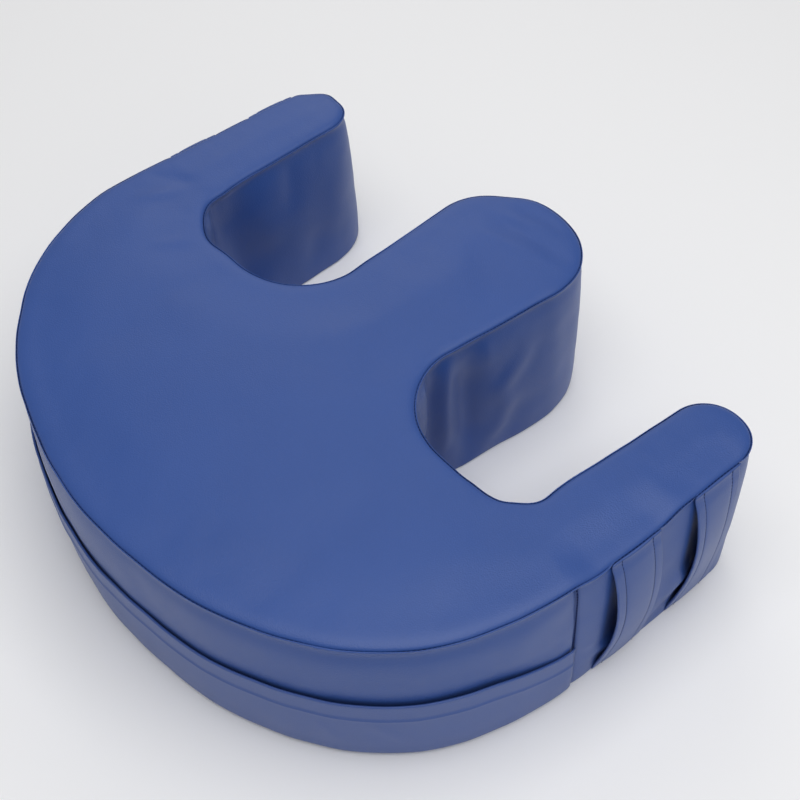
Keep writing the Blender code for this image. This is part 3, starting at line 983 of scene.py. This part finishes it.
def crease_top(piece):
    """Draws the creases of the top panel into the settled cover."""
    mesh = piece.data
    places = np.array([v.co for v in mesh.vertices])
    panel = smooth((places[:, 2] - TOP_ROWS[-1].height + 0.0008) / 0.0012)
    for fold in TOP_FOLDS:
        drop = fold.depth * beside(places[:, 0], places[:, 1] - MIDDLE_Y, fold)
        places[:, 2] -= drop * panel
    mesh.vertices.foreach_set("co", places.ravel())
    mesh.update()


def soften(piece):
    """Gives the wide faces a slight natural unevenness, along their own directions."""
    mesh = piece.data
    places = np.array([v.co for v in mesh.vertices])
    normals = np.array([v.normal for v in mesh.vertices])
    free = np.clip(places[:, 2] / 0.010, 0, 1)
    sizes = []
    for place in places:
        broad = noise.noise(Vector(place) * 11.0)
        small = noise.noise(Vector(place) * 37.0 + Vector((3.1, 7.7, 1.3)))
        sizes.append(0.00055 * broad + 0.00018 * small)
    places += normals * (np.array(sizes) * free)[:, None]
    mesh.vertices.foreach_set("co", places.ravel())


class CUSHION_OT_cover(bpy.types.Operator):
    """Build the sewn cover over its foam, relaxed as cloth"""

    bl_idname = "cushion.cover"
    bl_label = "Cover"

    def execute(self, context):
        shape, looks = context.scene.cushion_shape, context.scene.cushion_looks
        line = SeamLine(shape)
        strap_width = context.scene.cushion_sewing.strap_width
        mesh, slack = cover_mesh(shape, strap_width, line)
        piece = link("cover", mesh)
        relaxed(piece, slack, shape.looseness)
        finer = piece.modifiers.new("finer", "SUBSURF")
        finer.levels = finer.render_levels = 1
        flattened(piece)
        soften(piece)
        crease_top(piece)
        piece.data.shade_smooth()
        piece.data.materials.clear()
        piece.data.materials.append(leatherette("cover", looks.cover_colour, 0.42, looks))
        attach(piece, "root")
        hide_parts("cushion")
        return {"FINISHED"}


# The pocket


def pocket_span(line):
    """Distances along the line of the pocket's left and right ends, the left one negative."""
    right = line.side(POCKET_END_Y, 1)
    left = line.side(POCKET_END_Y, -1) - line.length
    return left, right


def pocket_share(s, line):
    """0 at the pocket's ends, and 1 along its back."""
    left, right = pocket_span(line)
    return smooth(np.minimum(s - left, right - s) / POCKET_END_REACH)


def pocket_top(s, line, sewing):
    """Height of the pocket's open edge."""
    share = pocket_share(s, line)
    rise = sewing.pocket_high - sewing.pocket_high_at_ends
    waver = uneven(s, line.length, (11, 17, 29, 37), 0.0006, SEED + 3) * share
    return sewing.pocket_high_at_ends + rise * share + waver


def pocket_stand(s, up, line, sewing):
    """How far the pocket stands off the wall, with up from 0 at its sewn edge to 1 on top."""
    lift = smooth((up - 0.06) / 0.94)
    hugging = 1 - 0.5 * smooth((POCKET_LOOSE_FROM - s) / 0.20)
    waver = 1 + uneven(s, line.length, (8, 14, 21, 33), 0.14, SEED + 4)
    return GAP + sewing.pocket_stand * pocket_share(s, line) * lift * waver * hugging


def pocket_section(s, line, sewing):
    """One closed loop round the band's thickness, up its face and down its back."""
    low, high = POCKET_LOW, float(pocket_top(s, line, sewing))
    hem, round_by = high - sewing.pocket_hem, sewing.cloth / 2
    face = np.concatenate((
        low + np.array([0.0, 0.0008, 0.0022]), np.linspace(low + 0.005, hem - 0.0044, 11),
        hem + np.array([-0.0026, -0.0014, -0.0006, 0.0, 0.0006, 0.0014, 0.0026]),
        np.linspace(hem + 0.0046, high - 0.0030, 7),
        high + np.array([-1.0, -0.5, -0.18, -0.02]) * round_by,
    ))
    up = (face - low) / (high - low)
    where = np.full(len(face), s) * (1 + (0.5 - up * 0.55) * SIDE_SEAM_SLANT / 0.437)
    left, right = pocket_span(line)
    end = 0.45 + 0.55 * float(smooth(min(s - left, right - s) / 0.004))
    stand = pocket_stand(np.full(len(face), s), up, line, sewing)
    full = np.interp(face, (low, low + 0.0030, hem - 0.0012, hem + 0.0004), (0.5, 0.82, 0.82, 1.0))
    thick = sewing.cloth * full * end
    rim = np.sqrt(np.clip(1 - (1 - (high - face) / round_by).clip(0, 1) ** 2, 0.02, 1))
    middle = stand + thick / 2
    ridge = sewing.hem_ridge * end * np.exp(-(((face - hem) / 0.0017) ** 2))
    slack = 0.0006 * np.sin(math.pi * np.clip(up / 0.72, 0, 1)) ** 2 * end
    slack += fold_depth(np.full(len(face), s), face, line, POCKET_FOLDS)
    outer = plain_wall(where, face, middle + thick / 2 * rim + ridge + slack * 0.6, line)
    inner = plain_wall(where, face, middle - thick / 2 * rim, line)
    return np.concatenate((outer, inner[::-1]))


class CUSHION_OT_pocket(bpy.types.Operator):
    """Build the long pocket round the curved back"""

    bl_idname = "cushion.pocket"
    bl_label = "Pocket"

    def execute(self, context):
        sewing, looks = context.scene.cushion_sewing, context.scene.cushion_looks
        line = SeamLine(context.scene.cushion_shape)
        left, right = pocket_span(line)
        steps = np.linspace(left, right, 261)
        mesh = swept("pocket_band", [pocket_section(s, line, sewing) for s in steps])
        piece = link("pocket_band", mesh)
        # The band colour is the bands' own blue with a painted sheen mixed in.
        mesh.materials.append(leatherette("pocket_band", looks.band_colour_and_sheen, 0.42, looks))
        heights = pocket_top(steps, line, sewing) - POCKET_LOW
        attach(piece, "root")
        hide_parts("pocket")
        return {"FINISHED"}


# The straps


def strap_point(strap, side, across, height, extra, line, sewing):
    """A point on a strap: across from 0 at its edge towards the back to 1, and its height."""
    up = (height - STRAP_LOW) / (STRAP_HIGH - STRAP_LOW)
    share = np.clip(
        (height - STRAP_LOW - STRAP_SEWN) / (STRAP_HIGH - STRAP_LOW - 2 * STRAP_SEWN), 0, 1
    )
    bow = np.sin(math.pi * share**STRAP_BOW_LIFT) ** STRAP_BOW_POWER
    stand = strap.back_stand + (strap.front_stand - strap.back_stand) * across
    y = strap.bottom_y + (strap.top_y - strap.bottom_y) * up
    y = y + (sewing.strap_width + strap.flare * (1 - up)) * (across - 0.5)
    s = line.side(float(np.mean(y)), side) + side * (y - float(np.mean(y)))
    tuck = STRAP_TUCK * float(smooth((height - STRAP_HIGH + 0.0060) / 0.0050))
    reach = GAP + stand * bow + extra - tuck
    return plain_wall(s, np.full(len(across), height), reach, line)


def strap_loop(strap, side, height, line, sewing):
    """One closed loop round a strap's section at a height."""
    width, margin = sewing.strap_width, sewing.strap_margin
    near = np.array([-1.4, -0.7, -0.3, 0.0, 0.3, 0.7, 1.4]) * MM
    across = np.concatenate((
        (0.0, 0.0003, 0.0009, 0.0020, 0.0045), margin + near,
        np.linspace(margin + 0.004, width - margin - 0.004, 7), width - margin + near,
        (width - 0.0045, width - 0.0020, width - 0.0009, width - 0.0003, width),
    ))
    edge = np.minimum(across, width - across)
    round_by = sewing.cloth / 2
    rim = np.sqrt(np.clip(1 - (1 - edge / round_by).clip(0, 1) ** 2, 0.02, 1))
    end = min(height - STRAP_LOW, STRAP_HIGH - height)
    full = sewing.cloth * (0.5 + 0.5 * float(smooth(end / 0.005)))
    dip = 0.0005 * np.exp(-(((edge - margin) / 0.0007) ** 2))
    puff = 0.0003 * smooth((edge - margin) / 0.006)
    cup = 0.0006 * np.sin(math.pi * across / width)
    share = across / width
    outer_lift = full * (0.5 + 0.5 * rim) - dip + puff + cup
    outer = strap_point(strap, side, share, height, outer_lift, line, sewing)
    inner = strap_point(strap, side, share, height, full * (0.5 - 0.5 * rim), line, sewing)
    return np.concatenate((outer, inner[::-1]))


class CUSHION_OT_straps(bpy.types.Operator):
    """Build the four strap handles"""

    bl_idname = "cushion.straps"
    bl_label = "Straps"

    def execute(self, context):
        sewing, looks = context.scene.cushion_sewing, context.scene.cushion_looks
        line = SeamLine(context.scene.cushion_shape)
        # The band colour is the bands' own blue with a painted sheen mixed in.
        finish = leatherette("strap_band", looks.band_colour_and_sheen, 0.42, looks)
        heights = np.linspace(STRAP_LOW, STRAP_HIGH, 60)
        for side, word in ((1, "right"), (-1, "left")):
            for strap in STRAPS:
                name = f"strap_{word}_{strap.word}"
                loops = [strap_loop(strap, side, h, line, sewing) for h in heights]
                piece = link(name + "_band", swept(name + "_band", loops))
                piece.data.materials.append(finish)
                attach(piece, "root")
                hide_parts(name)
        return {"FINISHED"}


# The stitching


def stitch_tree():
    """Geometry Nodes: a row of stitches along each line of the mesh it is given."""
    name = "stitch_row"
    if name in bpy.data.node_groups:
        return bpy.data.node_groups[name]
    tree = bpy.data.node_groups.new(name, "GeometryNodeTree")
    socket = tree.interface.new_socket
    socket("Geometry", in_out="INPUT", socket_type="NodeSocketGeometry")
    socket("Pitch", in_out="INPUT", socket_type="NodeSocketFloat")
    socket("Stitch Length", in_out="INPUT", socket_type="NodeSocketFloat")
    socket("Thread", in_out="INPUT", socket_type="NodeSocketFloat")
    socket("Seed", in_out="INPUT", socket_type="NodeSocketInt")
    socket("Material", in_out="INPUT", socket_type="NodeSocketMaterial")
    socket("Geometry", in_out="OUTPUT", socket_type="NodeSocketGeometry")
    nodes, links = tree.nodes, tree.links
    given = nodes.new("NodeGroupInput")
    result = nodes.new("NodeGroupOutput")
    curve = nodes.new("GeometryNodeMeshToCurve")
    links.new(given.outputs["Geometry"], curve.inputs["Mesh"])
    spaced = nodes.new("GeometryNodeResampleCurve")
    spaced.mode = "LENGTH"
    links.new(curve.outputs["Curve"], spaced.inputs["Curve"])
    links.new(given.outputs["Pitch"], spaced.inputs["Length"])
    stitch = nodes.new("GeometryNodeMeshUVSphere")
    stitch.inputs["Segments"].default_value = 6
    stitch.inputs["Rings"].default_value = 4
    stitch.inputs["Radius"].default_value = 0.5
    smooth = nodes.new("GeometryNodeSetShadeSmooth")
    links.new(stitch.outputs["Mesh"], smooth.inputs["Geometry"])
    tangent = nodes.new("GeometryNodeInputTangent")
    turn = nodes.new("FunctionNodeAlignRotationToVector")
    turn.axis = "Z"
    links.new(tangent.outputs["Tangent"], turn.inputs["Vector"])
    spread = nodes.new("FunctionNodeRandomValue")
    spread.data_type = "FLOAT"
    spread.inputs["Min"].default_value = 0.92
    spread.inputs["Max"].default_value = 1.06
    links.new(given.outputs["Seed"], spread.inputs["Seed"])
    length = nodes.new("ShaderNodeMath")
    length.operation = "MULTIPLY"
    links.new(given.outputs["Stitch Length"], length.inputs[0])
    links.new(spread.outputs[1], length.inputs[1])
    size = nodes.new("ShaderNodeCombineXYZ")
    links.new(given.outputs["Thread"], size.inputs["X"])
    links.new(given.outputs["Thread"], size.inputs["Y"])
    links.new(length.outputs[0], size.inputs["Z"])
    placed = nodes.new("GeometryNodeInstanceOnPoints")
    links.new(spaced.outputs["Curve"], placed.inputs["Points"])
    links.new(smooth.outputs["Geometry"], placed.inputs["Instance"])
    links.new(turn.outputs["Rotation"], placed.inputs["Rotation"])
    links.new(size.outputs["Vector"], placed.inputs["Scale"])
    real = nodes.new("GeometryNodeRealizeInstances")
    links.new(placed.outputs["Instances"], real.inputs["Geometry"])
    painted = nodes.new("GeometryNodeSetMaterial")
    links.new(real.outputs["Geometry"], painted.inputs["Geometry"])
    links.new(given.outputs["Material"], painted.inputs["Material"])
    links.new(painted.outputs["Geometry"], result.inputs["Geometry"])
    return tree


def set_input(modifier, name, value):
    """Sets a Geometry Nodes input by its socket's identifier."""
    for item in modifier.node_group.interface.items_tree:
        if item.item_type == "SOCKET" and item.in_out == "INPUT" and item.name == name:
            modifier[item.identifier] = value
            return
    raise KeyError(name)


def stitch(name, paths, thread, sewing, closed=False, heavier=1.0):
    """Sews rows of stitches along the given paths as one piece."""
    points, edges = [], []
    for path in paths:
        start = len(points)
        points += np.asarray(path).tolist()
        last = len(path) - (0 if closed else 1)
        edges += [(start + i, start + (i + 1) % len(path)) for i in range(last)]
    mesh = bpy.data.meshes.new(name)
    mesh.from_pydata(points, edges, [])
    piece = link(name, mesh)
    rows = piece.modifiers.new("stitches", "NODES")
    rows.node_group = stitch_tree()
    set_input(rows, "Pitch", sewing.stitch_pitch)
    set_input(rows, "Stitch Length", sewing.stitch_length)
    set_input(rows, "Thread", sewing.thread * heavier)
    set_input(rows, "Seed", sewing.seed)
    set_input(rows, "Material", thread)
    flattened(piece)
    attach(piece, "root")
    return piece


class CUSHION_OT_stitching(bpy.types.Operator):
    """Sew the visible rows of stitches"""

    bl_idname = "cushion.stitching"
    bl_label = "Stitching"

    def execute(self, context):
        sewing, looks = context.scene.cushion_sewing, context.scene.cushion_looks
        line = SeamLine(context.scene.cushion_shape)
        thread = thread_finish(looks)

        s = np.arange(0, line.length, 0.002)
        seam = section_point(s, GROOVE_OUTSET, np.full(len(s), GROOVE_HEIGHT), line)
        stitch("stitches_top_seam", [seam], thread, sewing, closed=True)

        heights = np.linspace(0.008, 0.163, 60)
        sides = []
        for side in (1, -1):
            at = side_seam_at(heights, side, line)
            sides.append(plain_wall(at, heights, np.full(len(heights), -0.0016), line))
        stitch("stitches_side_seams", sides, thread, sewing, heavier=2.2)

        rows = []
        levels = np.linspace(STRAP_LOW + 0.002, STRAP_HIGH - 0.003, 60)
        for side in (1, -1):
            for strap in STRAPS:
                for edge in (sewing.strap_margin, sewing.strap_width - sewing.strap_margin):
                    share = np.array([edge / sewing.strap_width])
                    lift = sewing.cloth - 0.0004 + 0.0006 * math.sin(math.pi * share[0])
                    row = [
                        strap_point(strap, side, share, h, lift, line, sewing)[0] for h in levels
                    ]
                    rows.append(np.array(row))
        stitch("stitches_straps", rows, thread, sewing)
        return {"FINISHED"}


# The studio


def area_light(name, place, aim, size, power, colour=(1.0, 1.0, 1.0)):
    """A soft square light that points at a place."""
    data = bpy.data.lights.new(name, "AREA")
    data.shape = "RECTANGLE"
    data.size, data.size_y = size
    data.energy = power
    data.color = colour
    light = bpy.data.objects.new(name, data)
    bpy.context.scene.collection.objects.link(light)
    light.location = place
    light.rotation_mode = "QUATERNION"
    light.rotation_quaternion = (Vector(aim) - Vector(place)).to_track_quat("-Z", "Y")


class CUSHION_OT_stage(bpy.types.Operator):
    """Set up the floor, the lights and the camera"""

    bl_idname = "cushion.stage"
    bl_label = "Stage"

    LOOKS_AT = (-0.0299, 0.0856)

    def execute(self, context):
        scene = context.scene
        studio = scene.cushion_studio
        self.floor()
        self.surroundings(scene, studio.ambient)
        area_light("above", (0.5, -0.05, 2.4), (0, 0, 0.1), (2.4, 2.4), 40)
        area_light("far", (-1.9, 1.3, 1.7), (0, 0, 0.1), (1.5, 1.5), 8)
        area_light("side", (2.0, -0.3, 1.0), (0.1, 0, 0.1), (1.4, 1.2), 3)
        self.camera(scene, studio)
        scene.view_settings.view_transform = "Standard"
        return {"FINISHED"}

    def floor(self):
        bpy.ops.mesh.primitive_plane_add(size=12, location=(0, 0, -0.0004))
        floor = bpy.context.object
        floor.name = "floor"
        made = bpy.data.materials.new("floor")
        made.use_nodes = True
        shader = made.node_tree.nodes["Principled BSDF"]
        shader.inputs["Base Color"].default_value = (0.92, 0.92, 0.93, 1.0)
        shader.inputs["Roughness"].default_value = 0.7
        floor.data.materials.append(made)

    def surroundings(self, scene, strength):
        world = bpy.data.worlds.new("studio")
        world.use_nodes = True
        background = world.node_tree.nodes["Background"]
        background.inputs["Color"].default_value = (1.0, 1.0, 1.0, 1.0)
        background.inputs["Strength"].default_value = strength
        scene.world = world

    def camera(self, scene, studio):
        a, e, r = studio.azimuth, studio.elevation, studio.roll
        back = Vector((math.sin(a) * math.cos(e), -math.cos(a) * math.cos(e), math.sin(e)))
        right = Vector((math.cos(a), math.sin(a), 0))
        up = back.cross(right)
        turned_right = right * math.cos(r) + up * math.sin(r)
        turned_up = up * math.cos(r) - right * math.sin(r)
        data = bpy.data.cameras.new("camera")
        data.lens = studio.lens
        data.sensor_width = 36.0
        data.clip_start, data.clip_end = 0.05, 50.0
        camera = bpy.data.objects.new("camera", data)
        scene.collection.objects.link(camera)
        aim = Vector((self.LOOKS_AT[0], self.LOOKS_AT[1] + MIDDLE_Y, 0))
        turn = Matrix((turned_right, turned_up, back)).transposed()
        camera.matrix_world = Matrix.Translation(aim + back * studio.distance) @ turn.to_4x4()
        scene.camera = camera


# The sidebar


class CUSHION_PT_panel(bpy.types.Panel):
    """The cushion's sizes and steps"""

    bl_idname = "CUSHION_PT_panel"
    bl_label = "Turning Cushion"
    bl_space_type = "VIEW_3D"
    bl_region_type = "UI"
    bl_category = "Cushion"

    def draw(self, context):
        for name in GROUPS:
            group = getattr(context.scene, name)
            box = self.layout.box()
            for key in group.__annotations__:
                box.prop(group, key)
        for step in STEPS:
            self.layout.operator(step.bl_idname)


STEPS = (
    CUSHION_OT_cover,
    CUSHION_OT_pocket,
    CUSHION_OT_straps,
    CUSHION_OT_stitching,
    CUSHION_OT_stage,
)
CLASSES = (*GROUPS.values(), *STEPS, CUSHION_PT_panel)


def register():
    for cls in CLASSES:
        bpy.utils.register_class(cls)
    for name, group in GROUPS.items():
        setattr(bpy.types.Scene, name, PointerProperty(type=group))


def unregister():
    for name in GROUPS:
        delattr(bpy.types.Scene, name)
    for cls in reversed(CLASSES):
        bpy.utils.unregister_class(cls)


def main():
    register()
    bpy.ops.cushion.cover()
    bpy.ops.cushion.pocket()
    bpy.ops.cushion.straps()
    bpy.ops.cushion.stitching()
    bpy.ops.cushion.stage()


if __name__ == "__main__":
    main()
